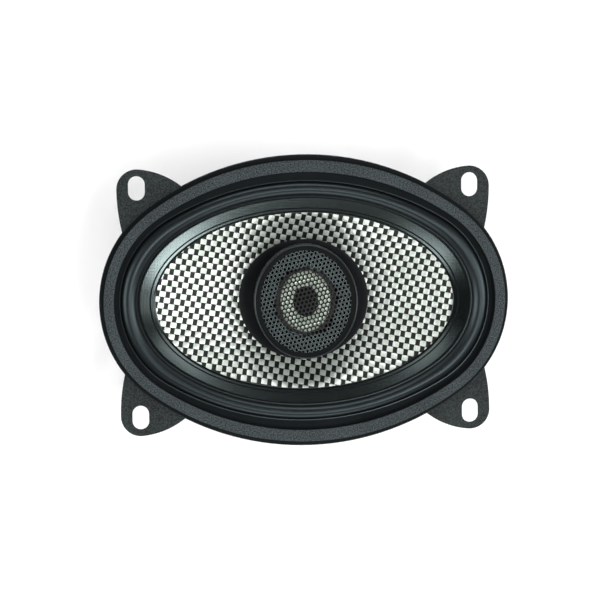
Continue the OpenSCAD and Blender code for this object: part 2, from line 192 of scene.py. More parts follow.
class Look:
    """Builds one node material, with small steps for what most of them share."""

    def __init__(self, name, rough, metal=0.0, specular=0.5, tint=WHITE):
        self.material = bpy.data.materials.new(name)
        self.material.use_nodes = True
        self.nodes = self.material.node_tree.nodes
        self.links = self.material.node_tree.links
        self.shader = self.nodes["Principled BSDF"]
        self.shader.inputs["Roughness"].default_value = rough
        self.shader.inputs["Metallic"].default_value = metal
        self.shader.inputs["Specular IOR Level"].default_value = specular
        self.shader.inputs["Specular Tint"].default_value = tint
        self.place = self.nodes.new("ShaderNodeTexCoord").outputs["Object"]
        self.height = None

    def add(self, kind, **values):
        node = self.nodes.new("ShaderNode" + kind)
        for key, value in values.items():
            if hasattr(node, key):
                setattr(node, key, value)
            else:
                node.inputs[key.replace("_", " ")].default_value = value
        return node

    def join(self, output, node, name):
        self.links.new(output, node.inputs[name])

    def noise(self, size, detail=3, roughness=0.55):
        """Noise whose features are about size metres across."""
        node = self.add("TexNoise", Scale=1 / size, Detail=detail, Roughness=roughness)
        self.join(self.place, node, "Vector")
        return node.outputs["Fac"]

    def ramp(self, value, *stops):
        """Colours at places along value, each stop a pair."""
        node = self.nodes.new("ShaderNodeValToRGB")
        while len(node.color_ramp.elements) < len(stops):
            node.color_ramp.elements.new(0.5)
        for element, (place, colour) in zip(node.color_ramp.elements, stops):
            element.position = place
            element.color = colour
        self.join(value, node, "Fac")
        return node.outputs["Color"]

    def mix(self, share, a, b):
        """Colour a blended with colour b, which takes up this share."""
        node = self.add("Mix", data_type="RGBA", blend_type="MIX")
        share_in, a_in, b_in = (node.inputs[k] for k in (0, 6, 7))
        share_in.default_value = share
        self.links.new(a, a_in)
        self.links.new(b, b_in)
        return node.outputs[2]

    def colour(self, value):
        self.join(value, self.shader, "Base Color")

    def rough(self, value, low, high):
        node = self.add("MapRange", To_Min=low, To_Max=high)
        self.join(value, node, "Value")
        self.join(node.outputs["Result"], self.shader, "Roughness")

    def bump(self, value, depth, strength=1.0):
        """Raises the surface by depth metres where value is 1. Later calls add to earlier ones."""
        node = self.add("Bump", Strength=strength, Distance=depth)
        self.join(value, node, "Height")
        if self.height is not None:
            self.join(self.height, node, "Normal")
        self.height = node.outputs["Normal"]
        self.join(self.height, self.shader, "Normal")


def grained(name, dark, light, grain, depth, rough, specular=0.5):
    """A cast or powder-coated skin, with fine grains of two tones."""
    look = Look(name, rough, 0, specular)
    fine = look.noise(grain, 2, 0.5)
    cloud = look.noise(grain * 30, 2, 0.5)
    look.colour(look.mix(0.85, look.ramp(cloud, (0.3, dark), (0.7, light)),
                         look.ramp(fine, (0.36, dark), (0.66, light))))
    look.rough(fine, rough - 0.08, rough + 0.1)
    look.bump(fine, depth)
    return look.material


def plain_metal(name, colour, rough, grain=0.4 * MM, wear=0.15, metal=1.0):
    """Plated or turned metal with faint clouding and fine scratches."""
    look = Look(name, rough, metal)
    cloud = look.noise(9 * MM, 4, 0.6)
    darker = tuple(c * (1 - wear) for c in colour[:3]) + (1,)
    look.colour(look.ramp(cloud, (0.3, darker), (0.7, colour)))
    look.rough(look.noise(grain, 3), rough - 0.07, rough + 0.12)
    look.bump(look.noise(grain, 2), 0.01 * MM, 0.5)
    return look.material


def turned_metal(name, colour, rough):
    """Metal faced on a lathe: fine rings about Z."""
    look = Look(name, rough, 1.0)
    rings = look.add("TexWave", wave_type="RINGS", rings_direction="Z", Scale=260.0,
                     Distortion=1.2, Detail=2.0)
    look.join(look.place, rings, "Vector")
    cloud = look.noise(12 * MM, 3)
    darker = tuple(c * 0.8 for c in colour[:3]) + (1,)
    look.colour(look.ramp(cloud, (0.3, darker), (0.7, colour)))
    look.rough(rings.outputs["Fac"], rough - 0.06, rough + 0.1)
    look.bump(rings.outputs["Fac"], 0.015 * MM, 0.6)
    return look.material


def moulded(name, colour, rough, grain=0.5 * MM, depth=0.01 * MM, specular=0.5, tint=WHITE):
    """Moulded plastic or rubber with a faint skin."""
    look = Look(name, rough, 0, specular, tint)
    cloud = look.noise(11 * MM, 3)
    lighter = tuple(min(1, c * 1.35 + 0.001) for c in colour[:3]) + (1,)
    look.colour(look.ramp(cloud, (0.3, colour), (0.75, lighter)))
    fine = look.noise(grain, 3)
    look.rough(fine, rough - 0.05, rough + 0.08)
    look.bump(fine, depth)
    return look.material


def tow_look(name, dark, light, rough, metal, streak, specular=0.5):
    """A flat bundle of filaments. The mesh's UV runs along the bundle and then across it."""
    look = Look(name, rough, metal, specular)
    uv = look.nodes.new("ShaderNodeUVMap")
    uv.uv_map = "tow"
    along = look.add("Mapping")
    along.inputs["Scale"].default_value = (1.1, 26, 1)
    look.join(uv.outputs["UV"], along, "Vector")
    threads = look.add("TexNoise", Scale=1.0, Detail=2.0, Roughness=0.6)
    look.join(along.outputs[0], threads, "Vector")
    patch = look.noise(6 * MM, 2)
    look.colour(look.mix(0.7, look.ramp(patch, (0.3, dark), (0.7, light)),
                         look.ramp(threads.outputs["Fac"], (0.3, dark), (0.62, light))))
    look.bump(threads.outputs["Fac"], 0.03 * MM, 0.8)
    if streak:
        tangent = look.nodes.new("ShaderNodeTangent")
        tangent.direction_type = "UV_MAP"
        tangent.uv_map = "tow"
        look.join(tangent.outputs["Tangent"], look.shader, "Tangent")
        look.shader.inputs["Anisotropic"].default_value = streak
    return look.material


BAND = 0.314                             # a wave texture repeats every BAND / scale metres


def cloth_look(name, dark, light, pitch, depth, rough, specular=0.5, tint=WHITE):
    """Fine woven cloth under resin: two crossed sets of threads."""
    look = Look(name, rough, 0, specular, tint)
    sets = []
    for direction in ("X", "Y"):
        wave = look.add("TexWave", wave_type="BANDS", bands_direction=direction,
                        Scale=BAND / pitch, Distortion=0.4, Detail=1.0)
        look.join(look.place, wave, "Vector")
        sets.append(wave.outputs["Fac"])
    weave = look.add("Math", operation="MULTIPLY")
    look.links.new(sets[0], weave.inputs[0])
    look.links.new(sets[1], weave.inputs[1])
    patch = look.noise(5 * MM, 3)
    look.colour(look.mix(0.6, look.ramp(patch, (0.3, dark), (0.7, light)),
                         look.ramp(weave.outputs[0], (0.05, dark), (0.7, light))))
    look.bump(weave.outputs[0], depth)
    return look.material


COAT = grained("frame_coat", srgb(0.02, 0.027, 0.028), srgb(0.175, 0.205, 0.205),
               0.55 * MM, 0.1 * MM, 0.6, 0.2)
RING_GRAIN = grained("ring_grain", srgb(0.03, 0.036, 0.04), srgb(0.25, 0.285, 0.295),
                     0.5 * MM, 0.1 * MM, 0.6, 0.2)
COOL = (0.72, 0.91, 0.97, 1)             # tint of the sheen on rubber and black plastic
GREENISH = (0.76, 0.95, 0.93, 1)         # tint of the sheen on the land
RUBBER = moulded("surround_rubber", srgb(0.03, 0.035, 0.037),
                 0.32, 0.35 * MM, 0.005 * MM, 0.4, COOL)
# Painted shade: a duller, almost matte copy of the surround rubber, put where shade falls: the
# trough under the front ring, the groove of the land's seam and the front ring's walls.
MATTE_SHADE_RUBBER = moulded("surround_lip_painted_shade", srgb(0.045, 0.05, 0.055),
                     0.6, 0.35 * MM, 0.005 * MM, 0.1, COOL)
LAND_CLOTH = cloth_look("land_cloth", srgb(0.025, 0.031, 0.031), srgb(0.06, 0.074, 0.073),
                        0.55 * MM, 0.003 * MM, 0.12, 0.4, GREENISH)
COLLAR = moulded("collar_black", srgb(0.085, 0.093, 0.1), 0.7, 0.3 * MM, 0.02 * MM, 0.15)
SILVER_TOW = tow_look("silver_tow", srgb(0.6, 0.64, 0.6), srgb(0.94, 0.97, 0.94),
                      0.36, 0.65, 0.6)
BLACK_TOW = tow_look("black_tow", srgb(0.022, 0.027, 0.026), srgb(0.085, 0.095, 0.09),
                     0.45, 0.0, 0.0, 0.25)
CONE_BACK = cloth_look("cone_back", srgb(0.07, 0.07, 0.07), srgb(0.16, 0.16, 0.155),
                       1.0 * MM, 0.05 * MM, 0.6)
SPIDER_CLOTH = cloth_look("spider_cloth", srgb(0.5, 0.36, 0.14), srgb(0.78, 0.62, 0.33),
                          0.6 * MM, 0.06 * MM, 0.75)
COIL_FILM = moulded("coil_film", srgb(0.72, 0.42, 0.13), 0.3)
COPPER = plain_metal("copper_wire", srgb(0.78, 0.42, 0.26), 0.35)
ZINC = turned_metal("zinc_plate", srgb(0.7, 0.71, 0.73), 0.34)
FERRITE = grained("ferrite_skin", srgb(0.15, 0.15, 0.155), srgb(0.25, 0.25, 0.255),
                  0.7 * MM, 0.03 * MM, 0.6)
SCREW = plain_metal("screw_steel", srgb(0.78, 0.78, 0.8), 0.28)
TWEETER_BLACK = moulded("tweeter_plastic", srgb(0.045, 0.052, 0.057),
                        0.36, 0.4 * MM, 0.006 * MM, 0.45, COOL)
# Painted shade: a darker, matte copy of the tweeter plastic for the recess inside the bezel's rim.
RECESS_SHADE = moulded("bezel_recess_painted_shade", srgb(0.035, 0.04, 0.042), 0.75, 0.4 * MM, 0.006 * MM, 0.1)
GRILLE = moulded("grille_steel", srgb(0.045, 0.05, 0.05), 0.42, 0.3 * MM, 0.005 * MM, 0.2)
# Painted highlight: light grey for the edges of the grille's outer holes, where they catch the
# light.
HOLE_RIM_HIGHLIGHT = moulded("hole_rim_painted_highlight", srgb(0.38, 0.44, 0.44), 0.35, 0.3 * MM, 0.005 * MM, 0.6)
NICKEL = plain_metal("nickel", srgb(0.85, 0.86, 0.87), 0.2)
FILM = plain_metal("dome_film", srgb(0.82, 0.88, 0.81), 0.3, 0.5 * MM, 0.03, 0.25)
# Painted reflection: dark colour for the middle of the shiny dome, standing in for the dark room
# overhead that it reflects.
DARK_REFLECTION_FILM = moulded("dome_centre_painted_reflection", srgb(0.04, 0.045, 0.045), 0.5, 0.5 * MM, 0.01 * MM, 0.1)
SOFT_EDGE = moulded("dome_edge", srgb(0.08, 0.08, 0.085), 0.5)
BOARD = cloth_look("board_fibre", srgb(0.26, 0.17, 0.09), srgb(0.42, 0.29, 0.16),
                   0.8 * MM, 0.01 * MM, 0.5)
TINNED = plain_metal("tinned_brass", srgb(0.83, 0.8, 0.7), 0.3)
SLEEVE = moulded("cap_sleeve", srgb(0.08, 0.13, 0.3), 0.25)
BRAID = plain_metal("braid", srgb(0.8, 0.5, 0.33), 0.38)
WIRE_SKIN = moulded("wire_skin", srgb(0.45, 0.08, 0.07), 0.4)

NODE_LOOKS = {
    "flange": COAT, "basket_collar": COAT, "basket": COAT, "t_yoke": ZINC,
    "ferrite_magnet": FERRITE, "top_plate": ZINC, "motor_screws": SCREW,
    "tweeter_post": TWEETER_BLACK, "post_nut": SCREW, "housing_nut": SCREW,
    "tweeter_housing": TWEETER_BLACK, "tweeter_frame": TWEETER_BLACK, "tweeter_cup": ZINC,
    "tweeter_magnet": NICKEL, "tweeter_pole_plate": ZINC, "tweeter_coil": COPPER,
    "tweeter_surround": SOFT_EDGE, "tweeter_dome": FILM, "tweeter_bezel": TWEETER_BLACK,
    "tweeter_grille": GRILLE, "front_ring": RING_GRAIN, "surround": RUBBER, "cone": CONE_BACK,
    "neck_collar": COLLAR, "spider": SPIDER_CLOTH, "voice_coil_former": COIL_FILM,
    "voice_coil_winding": COPPER, "lead_eyelets": TINNED, "terminal_board": BOARD,
    "board_rivets": SCREW, "tab_rivets": SCREW, "positive_tab": TINNED, "negative_tab": TINNED,
    "capacitor": SLEEVE, "capacitor_leads": TINNED, "tinsel_leads": BRAID,
    "tweeter_wires": WIRE_SKIN,
}

for node_name, look in NODE_LOOKS.items():
    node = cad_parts[node_name]
    node.data.materials.clear()
    node.data.materials.append(look)


# ---- surround: lip, roll and land ----

ROUND = 256                              # points round the surround and the front ring
ROLL_STEPS = 29                          # rows across the top of the roll
ROLL_MID = np.array([66.0, 42.05]) * MM
ROLL_HALF = np.array([2.95, 2.7]) * MM
ROLL_RISE = 2.1 * MM
ROLL_ROUNDNESS = 1.3                     # 1 is a half ellipse, more is flatter at the foot
LAND_IN = np.array([55.9, 33.0]) * MM
SKIN = 0.5 * MM
TROUGH_Z = LIP_Z - 0.1 * MM
LAND_OUT_Z = LIP_Z - 0.05 * MM
LAND_IN_Z = LIP_Z - 1.05 * MM

# rows across the land: share of the way in, and how deep the seam's groove is there, in mm
LAND_ROWS = (
    (0, 0), (0.15, 0), (0.3, 0), (0.5, 0), (0.66, 0), (0.68, 0.12), (0.73, 0.12),
    (0.75, 0), (0.85, 0), (0.97, 0),
)


def roll_points(steps, shrink):
    """Half roll from outside in: sizes, heights and how far across each point is."""
    found = []
    for turn in np.linspace(0, math.pi, steps):
        size = ROLL_MID + (ROLL_HALF - shrink) * math.cos(turn)
        height = TROUGH_Z + (ROLL_RISE - shrink) * math.sin(turn) ** ROLL_ROUNDNESS
        found.append((size, height, (1 - math.cos(turn)) / 2))
    return found


def build_surround():
    roll_out = ROLL_MID + ROLL_HALF
    roll_in = ROLL_MID - ROLL_HALF
    land_out = roll_in - 0.5 * MM
    lip_edge = FLANGE - 0.35 * MM
    lip = [
        (lip_edge, LIP_Z - 0.12 * MM, 0),
        (FLANGE - 0.5 * MM, LIP_Z, 0),
        (RING_IN, LIP_Z, 0),
        (RING_IN - 0.7 * MM, TROUGH_Z + 0.03 * MM, 0),
        (roll_out + 0.35 * MM, TROUGH_Z - 0.03 * MM, 0),
    ]
    groove = [
        (roll_in - 0.08 * MM, TROUGH_Z - 0.1 * MM, 1),
        (roll_in - 0.25 * MM, TROUGH_Z - 0.1 * MM, 1),
        (roll_in - 0.35 * MM, LAND_OUT_Z - 0.02 * MM, 1),
    ]
    land = [
        (land_out + (LAND_IN - land_out) * share,
         LAND_OUT_Z + (LAND_IN_Z - LAND_OUT_Z) * share - sink * MM, 1)
        for share, sink in LAND_ROWS
    ]
    top = lip + roll_points(ROLL_STEPS, 0) + groove + land + [(LAND_IN, LAND_IN_Z - 0.1 * MM, 1)]
    under = [(size, LIP_Z - SKIN, 0) for size in (lip_edge, RING_IN, roll_out)]
    under += roll_points(17, SKIN)
    under += [(land_out, LAND_OUT_Z - SKIN, 1), (LAND_IN, LAND_IN_Z - SKIN, 1)]
    rows = top + under[::-1]
    piece = swept("surround_skin", [oval_or_ellipse(size) for size, _, _ in rows],
                  [z for _, z, _ in rows], RUBBER)
    piece.data.materials.append(LAND_CLOTH)
    piece.data.materials.append(MATTE_SHADE_RUBBER)
    first_land = len(lip) + ROLL_STEPS + len(groove)
    seam = [first_land + k for k in range(len(LAND_ROWS) - 1)
            if LAND_ROWS[k][1] or LAND_ROWS[k + 1][1]]
    paint_rows(piece, ROUND, range(first_land, len(top) - 1), 1)
    # Painted shade: the trough's lip and the seam groove take the matte shade rubber, so that they
    # stay dark.
    paint_rows(piece, ROUND, [*range(len(lip) - 1), *seam], 2)
    set_weights(piece)
    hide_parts("surround")


def oval_or_ellipse(size):
    """The ring's four-arc oval outside, changing to a true ellipse at the cone's edge."""
    share = smooth_step((RING_IN[0] - size[0]) / (RING_IN[0] - LAND_IN[0]))
    turn_oval = oval(size, ROUND)
    angle = np.arctan2(turn_oval[:, 1] / size[1], turn_oval[:, 0] / size[0])
    on_ellipse = np.stack([size[0] * np.cos(angle), size[1] * np.sin(angle)], 1)
    return turn_oval * (1 - share) + on_ellipse * share


build_surround()


# ---- front ring ----

def build_front_ring():
    edge = 0.35 * MM
    width = RING_OUT - RING_IN
    shade_wall_strips = 3                      # strips of each wall painted as shade with the dark matte rubber
    rows = [(0.0, LIP_Z), (0.0, RING_Z - edge)]
    for turn in np.linspace(0, math.pi / 2, 5)[1:]:
        rows.append((edge * (1 - math.cos(turn)), RING_Z - edge + edge * math.sin(turn)))
    outlines = [oval(RING_OUT - inset, ROUND) for inset, _ in rows]
    heights = [z for _, z in rows]
    for inset, z in rows[::-1]:
        outlines.append(oval(RING_OUT - width + inset, ROUND))
        heights.append(z)
    piece = swept("front_ring_moulding", outlines, heights, RING_GRAIN, smooth_angle=50)
    piece.data.materials.append(MATTE_SHADE_RUBBER)
    count = len(outlines)
    # Painted shade: the ring's outer and inner walls take the dark matte rubber in place of the
    # grain.
    paint_rows(piece, ROUND, [*range(shade_wall_strips), *range(count - shade_wall_strips - 1, count)], 1)
    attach(piece, FRAME)
    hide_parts("front_ring")


build_front_ring()


# ---- woven cone ----

FOOT = np.array([23.7, 22.0]) * MM
EDGE = np.array([56.1, 33.1]) * MM
FOOT_Z = FLANGE_TOP - 9.0 * MM
EDGE_Z = FLANGE_TOP - 1.15 * MM
DISH = 0.12                              # how far the flank bows down, as a share of its depth


def cone_level(x, y):
    """0 on the cone's foot ellipse, 1 on its edge ellipse, and on beyond either."""
    wider, taller = EDGE - FOOT
    t = np.full(np.shape(x), 0.5)
    for _ in range(30):
        a = FOOT[0] + wider * t
        b = FOOT[1] + taller * t
        gap = (x / a) ** 2 + (y / b) ** 2 - 1
        slope = -2 * ((x / a) ** 2 / a * wider + (y / b) ** 2 / b * taller)
        t = t - gap / np.minimum(slope, -1e-6)
        t = np.clip(t, -0.5, 1.3)
    return t


def cone_height(x, y):
    t = cone_level(x, y)
    inner = np.minimum(t, 1.0)
    flank = FOOT_Z + (EDGE_Z - FOOT_Z) * (inner - DISH * inner * (1 - inner) * (inner > 0))
    return flank + np.maximum(t - 1.0, 0) * 0.5 * MM


def cone_normal(x, y):
    step = 0.05 * MM
    dx = (cone_height(x + step, y) - cone_height(x - step, y)) / (2 * step)
    dy = (cone_height(x, y + step) - cone_height(x, y - step)) / (2 * step)
    n = np.stack([-dx, -dy, np.ones_like(dx)], -1)
    return n / np.linalg.norm(n, axis=-1, keepdims=True)


PITCH = np.array([1.96, 2.18]) * MM
LEAN = math.radians(-10.6)
KEPT = (-0.03, 1.045)                    # the levels between which the patches' middles lie
NARROWING = 0.06                         # of a tow towards the ends of a patch
SILVER = {"half": (1.15 * MM, 1.0 * MM), "base": -0.04 * MM, "rise": 0.13 * MM, "grid": (9, 7)}
BLACK = {"half": (0.98 * MM, 1.2 * MM), "base": -0.06 * MM, "rise": 0.11 * MM, "grid": (5, 7)}


def float_patches(kind, centres, along_y):
    """Raised patches, one for each place where a tow passes over the crossing one."""
    nu, nv = kind["grid"]
    half_u, half_v = kind["half"]
    u, v = np.meshgrid(np.linspace(-1, 1, nu), np.linspace(-1, 1, nv), indexing="ij")
    across, along = (u, v) if along_y else (v, u)
    lift = kind["base"] + kind["rise"] * (1 - np.abs(across) ** 3) * np.cos(along * math.pi / 2)
    narrow = 1 - NARROWING * np.abs(along) ** 2
    du = u * half_u * (narrow if along_y else 1)
    dv = v * half_v * (1 if along_y else narrow)
    c, s = math.cos(LEAN), math.sin(LEAN)
    x = centres[:, 0, None, None] + c * du - s * dv
    y = centres[:, 1, None, None] + s * du + c * dv
    # near the cone's foot the tows dip under the collar
    tucked = smooth_step((0.03 - cone_level(x, y)) / 0.05) * 0.6 * MM
    base = np.stack([x, y, cone_height(x, y) - tucked], -1)
    points = base + cone_normal(x, y) * lift[None, :, :, None]
    faces = []
    uvs = []
    size = nu * nv
    for k in range(len(centres)):
        for i in range(nu - 1):
            for j in range(nv - 1):
                corner = [(i, j), (i + 1, j), (i + 1, j + 1), (i, j + 1)]
                faces.append([k * size + p * nv + q for p, q in corner])
                for p, q in corner:
                    flat = (p / (nu - 1), q / (nv - 1))
                    if along_y:
                        flat = flat[::-1]
                    # each patch reads its own part of the threads' noise
                    uvs.append((flat[0] + 3.7 * k, flat[1] + 1.3 * k))
    return points.reshape(-1, 3), faces, uvs


def build_cone():
    reach = int(EDGE[0] / min(PITCH)) + 4
    span = range(-reach, reach + 1)
    cells = np.array([(i, j) for i in span for j in span])
    flat = cells * PITCH
    c, s = math.cos(LEAN), math.sin(LEAN)
    centres = np.stack([c * flat[:, 0] - s * flat[:, 1], s * flat[:, 0] + c * flat[:, 1]], 1)
    level = cone_level(centres[:, 0], centres[:, 1])
    kept = (level > KEPT[0]) & (level < KEPT[1])
    even = (cells.sum(1) % 2) == 0
    for name, kind, chosen, along_y, look in (
        ("cone_silver_tows", SILVER, kept & even, True, SILVER_TOW),
        ("cone_black_tows", BLACK, kept & ~even, False, BLACK_TOW),
    ):
        points, faces, uvs = float_patches(kind, centres[chosen], along_y)
        piece = new_object(name, points, faces, look, 80)
        layer = piece.data.uv_layers.new(name="tow")
        layer.data.foreach_set("uv", np.array(uvs, np.float32).ravel())
        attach(piece, CONE)
    count = 192
    levels = [1.18, *np.linspace(1.04, -0.02, 22)]
    outlines, heights = [], []
    for order, drop in ((1, 0.14 * MM), (-1, 0.7 * MM)):
        for t in levels[::order]:
            outline = ellipse(FOOT + (EDGE - FOOT) * t, count)
            outlines.append(outline)
            heights.append(float(cone_height(outline[:1, 0], outline[:1, 1])[0]) - drop)
    shell = swept("cone_shell", outlines, heights, CONE_BACK)
    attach(shell, CONE)
    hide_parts("cone")


build_cone()


# ---- black collar between the cone and the coil ----

def build_collar():
    """Rows of half sizes in mm and heights, from the cone's foot in and down to the neck."""
    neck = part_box("neck_collar")[0].z
    bore = 12.66
    count = 160
    top = [
        ((24.6, 22.9), FOOT_Z + 0.38 * MM), ((24.45, 22.75), FOOT_Z + 0.52 * MM),
        ((24.0, 22.3), FOOT_Z + 0.5 * MM), ((22.3, 20.5), FOOT_Z - 0.7 * MM),
        ((20.0, 18.4), FOOT_Z - 1.9 * MM), ((17.2, 16.6), neck + 2.6 * MM),
        ((14.6, 14.5), neck + 1.5 * MM), ((13.2, 13.2), neck + 1.3 * MM),
        ((bore, bore), neck + 1.6 * MM),
    ]
    under = [
        ((bore, bore), neck), ((13.6, 13.6), neck + 0.4 * MM), ((17.4, 16.8), neck + 1.9 * MM),
        ((22.4, 20.6), FOOT_Z - 1.5 * MM), ((24.6, 22.9), FOOT_Z + 0.05 * MM),
    ]
    rows = top + under
    outlines = [ellipse(np.array(size) * MM, count) for size, _ in rows]
    piece = swept("neck_collar_skin", outlines, [z for _, z in rows], COLLAR, smooth_angle=60)
    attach(piece, CONE)
    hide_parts("neck_collar")


build_collar()


# ---- spider and tinsel leads, between the frame and the moving cone ----

LEDGE_TOP = 29.8 * MM
SPIDER_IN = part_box("voice_coil_former")[1].x + 0.05 * MM
SPIDER_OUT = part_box("spider")[1].x


def build_spider():
    """Corrugated cloth, flat where it is glued to the frame's ledge and to the former."""
    wave_in = SPIDER_IN + 2.2 * MM
    wave_out = 30.6 * MM
    waves = 4
    wave_h = 0.9 * MM
    rise = 0.8 * MM
    cloth = 0.4 * MM
    count = 160
    share = np.linspace(0, 1, 65)
    radii = wave_in + (wave_out - wave_in) * share
    heights = LEDGE_TOP + rise * (1 - share) - wave_h * np.sin(2 * math.pi * waves * share)
    under = [(SPIDER_IN, LEDGE_TOP + rise)] + list(zip(radii, heights))
    under += [(wave_out + 0.6 * MM, LEDGE_TOP + 0.02 * MM), (SPIDER_OUT, LEDGE_TOP + 0.02 * MM)]
    profile = [(r, z + cloth) for r, z in under] + under[::-1]
    circles = [ellipse((r, r), count) for r, _ in profile]
    piece = swept("spider_cloth_disc", circles, [z for _, z in profile], SPIDER_CLOTH, 50)
    set_weights(piece)
    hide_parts("spider")


def build_tinsel_leads():
    lead_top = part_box("lead_eyelets")[0].z - 0.05 * MM
    sides = 18
    for name, s in (("tinsel_lead_plus", 1), ("tinsel_lead_minus", -1)):
        knots = np.array([
            (40.6, 8.6 * s, 29.65), (41.2, 8.55 * s, 31.2), (41.8, 8.3 * s, 33.5),
            (40.6, 8.0 * s, 36.0), (38.4, 7.5 * s, 38.0),
            (36.9, 7.1 * s, lead_top / MM - 1), (36.5, 7.0 * s, lead_top / MM),
        ]) * MM
        path = smooth_path(knots, 12)
        piece = strand(name, path, 0.5 * MM, BRAID, sides)
        set_weights(piece)
        if s == 1:
            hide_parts("tinsel_leads")


build_spider()
build_tinsel_leads()


# ---- tweeter: bezel, perforated grille, diaphragm ----

BEZEL = np.array([BEZEL_HIGH.x, BEZEL_HIGH.y])
VIEW = BEZEL - np.array([2.55, 2.4]) * MM
BEZEL_Z = BEZEL_HIGH.z
SHADED_RECESS_ROWS = range(7, 12)               # from inside the rim down to the seat of the grille, painted darker and matte as shade


def build_bezel():
    housing_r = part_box("tweeter_housing")[1].x
    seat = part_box("tweeter_housing")[1].z
    low = BEZEL_LOW.z
    rows = [
        (BEZEL - 0.25 * MM, low), (BEZEL, low + 0.25 * MM), (BEZEL, BEZEL_Z - 0.75 * MM),
        (BEZEL - 0.06 * MM, BEZEL_Z - 0.28 * MM), (BEZEL - 0.2 * MM, BEZEL_Z - 0.08 * MM),
        (BEZEL - 0.36 * MM, BEZEL_Z), (BEZEL - 0.52 * MM, BEZEL_Z - 0.08 * MM),
        (BEZEL - 0.62 * MM, BEZEL_Z - 0.3 * MM), (BEZEL - 0.8 * MM, BEZEL_Z - 0.6 * MM),
        (VIEW + 0.35 * MM, BEZEL_Z - 1.0 * MM), (VIEW, BEZEL_Z - 1.35 * MM),
        (VIEW, seat + 0.3 * MM), (VIEW - 0.6 * MM, seat + 0.2 * MM),
        (VIEW - 0.6 * MM, seat + 0.02 * MM),
    ]
    count = 192
    outlines = [upright(size, count) for size, _ in rows]
    heights = [z for _, z in rows]
    for z in (seat + 0.02 * MM, low):
        outlines.append(ellipse((housing_r + 0.06 * MM,) * 2, count))
        heights.append(z)
    piece = swept("tweeter_bezel_ring", outlines, heights, TWEETER_BLACK, smooth_angle=40)
    piece.data.materials.append(RECESS_SHADE)
    # painted shade in the recess
    paint_rows(piece, count, SHADED_RECESS_ROWS, 1)
    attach(piece, FRAME)
    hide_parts("tweeter_bezel")


HOLE_PITCH = 1.55 * MM
HOLE_R = 0.56 * MM
HOLE_EDGE = 0.1 * MM                     # rounding round each hole
RIM_HIGHLIGHT_FROM = 0.68                         # share of the grille's size beyond which the hole edges get a painted highlight
SHEET = 0.25 * MM


def grille_height(x, y):
    """The grille's shallow dome."""
    away = np.clip((x / (VIEW[0] + MM)) ** 2 + (y / (VIEW[1] + MM)) ** 2, 0, 1)
    return BEZEL_Z - 1.25 * MM + 0.75 * MM * (1 - away)


def build_grille():
    """A sheet of hexagons, each with a true hole through it."""
    lean = math.radians(12)
    stretch = VIEW[1] / VIEW[0]
    corners = 6
    sides = 12
    hex_turn = np.arange(corners) * math.pi / 3 + math.pi / 6
    hole_turn = np.arange(sides) * 2 * math.pi / sides + math.pi / 6
    loops = (
        (hex_turn, HOLE_PITCH / math.sqrt(3), 0),
        (hole_turn, HOLE_R + HOLE_EDGE, 0),
        (hole_turn, HOLE_R + 0.3 * HOLE_EDGE, 0.3 * HOLE_EDGE),
        (hole_turn, HOLE_R, HOLE_EDGE),
        (hole_turn, HOLE_R, SHEET),
    )
    points, faces, rims = [], [], []
    reach = int(VIEW[1] / HOLE_PITCH) + 3
    limit = VIEW + 0.45 * MM
    for row in range(-reach, reach + 1):
        for column in range(-reach, reach + 1):
            u = (column + 0.5 * (row % 2)) * HOLE_PITCH
            v = row * HOLE_PITCH * math.sqrt(3) / 2
            x = math.cos(lean) * u - math.sin(lean) * v
            y = (math.sin(lean) * u + math.cos(lean) * v) * stretch
            if (x / limit[0]) ** 2 + (y / limit[1]) ** 2 > 1:
                continue
            start = len(points)
            hole = start + corners
            for turn, radius, drop in loops:
                for t in turn + lean:
                    px = x + radius * math.cos(t)
                    py = y + radius * math.sin(t) * stretch
                    points.append((px, py, float(grille_height(px, py)) - drop))
            for k in range(corners):
                h0, h1 = start + k, start + (k + 1) % corners
                c0, c1, c2 = (hole + (2 * k + step) % sides for step in range(3))
                faces += [(h0, h1, c2, c1), (h0, c1, c0)]
            # painted highlight: the outer holes' edges take the light grey slot
            if (x / limit[0]) ** 2 + (y / limit[1]) ** 2 > RIM_HIGHLIGHT_FROM ** 2:
                rims += range(len(faces), len(faces) + 2 * sides)
            faces += [tuple(hole + n for n in face) for face in strip_faces(4, sides, False)]
    piece = new_object("tweeter_grille_sheet", points, faces, GRILLE, 50)
    piece.data.materials.append(HOLE_RIM_HIGHLIGHT)
    for number in rims:
        piece.data.polygons[number].material_index = 1
    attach(piece, FRAME)
    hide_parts("tweeter_grille")


DOME_LOW, DOME_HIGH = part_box("tweeter_dome")
DOME_STRETCH = 1.22                      # the dome is drawn taller than wide, as the grille is
DOME_ROUND = 96
DARK_REFLECTION_ROWS = range(4)                     # the dome's middle, painted dark as the reflection of the dark room overhead


def build_diaphragm():
    base = DOME_LOW.z + 0.1 * MM
    peak = DOME_HIGH.z + 0.1 * MM
    rows = [
        (0.05, peak - 0.1 * MM), (1.8, peak - 0.14 * MM), (3.4, peak - 0.35 * MM),
        (4.4, peak - 0.75 * MM), (4.7, peak - 0.85 * MM), (5.1, peak - 0.6 * MM),
        (5.9, peak - 0.22 * MM), (7.2, peak - 0.02 * MM), (8.5, peak - 0.12 * MM),
        (9.2, peak - 0.5 * MM), (9.45, base + 0.2 * MM), (9.5, base),
        (9.35, base - 0.05 * MM), (8.5, base + 0.2 * MM), (0.05, base + 0.3 * MM),
    ]
    circles = [ellipse((r * MM, r * DOME_STRETCH * MM), DOME_ROUND) for r, _ in rows]
    piece = swept("tweeter_dome_film", circles, [z for _, z in rows], FILM)
    piece.data.materials.append(DARK_REFLECTION_FILM)
    # painted reflection: the dome's middle takes the dark slot
    paint_rows(piece, DOME_ROUND, DARK_REFLECTION_ROWS, 1)
    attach(piece, DIAPHRAGM)
    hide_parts("tweeter_dome")


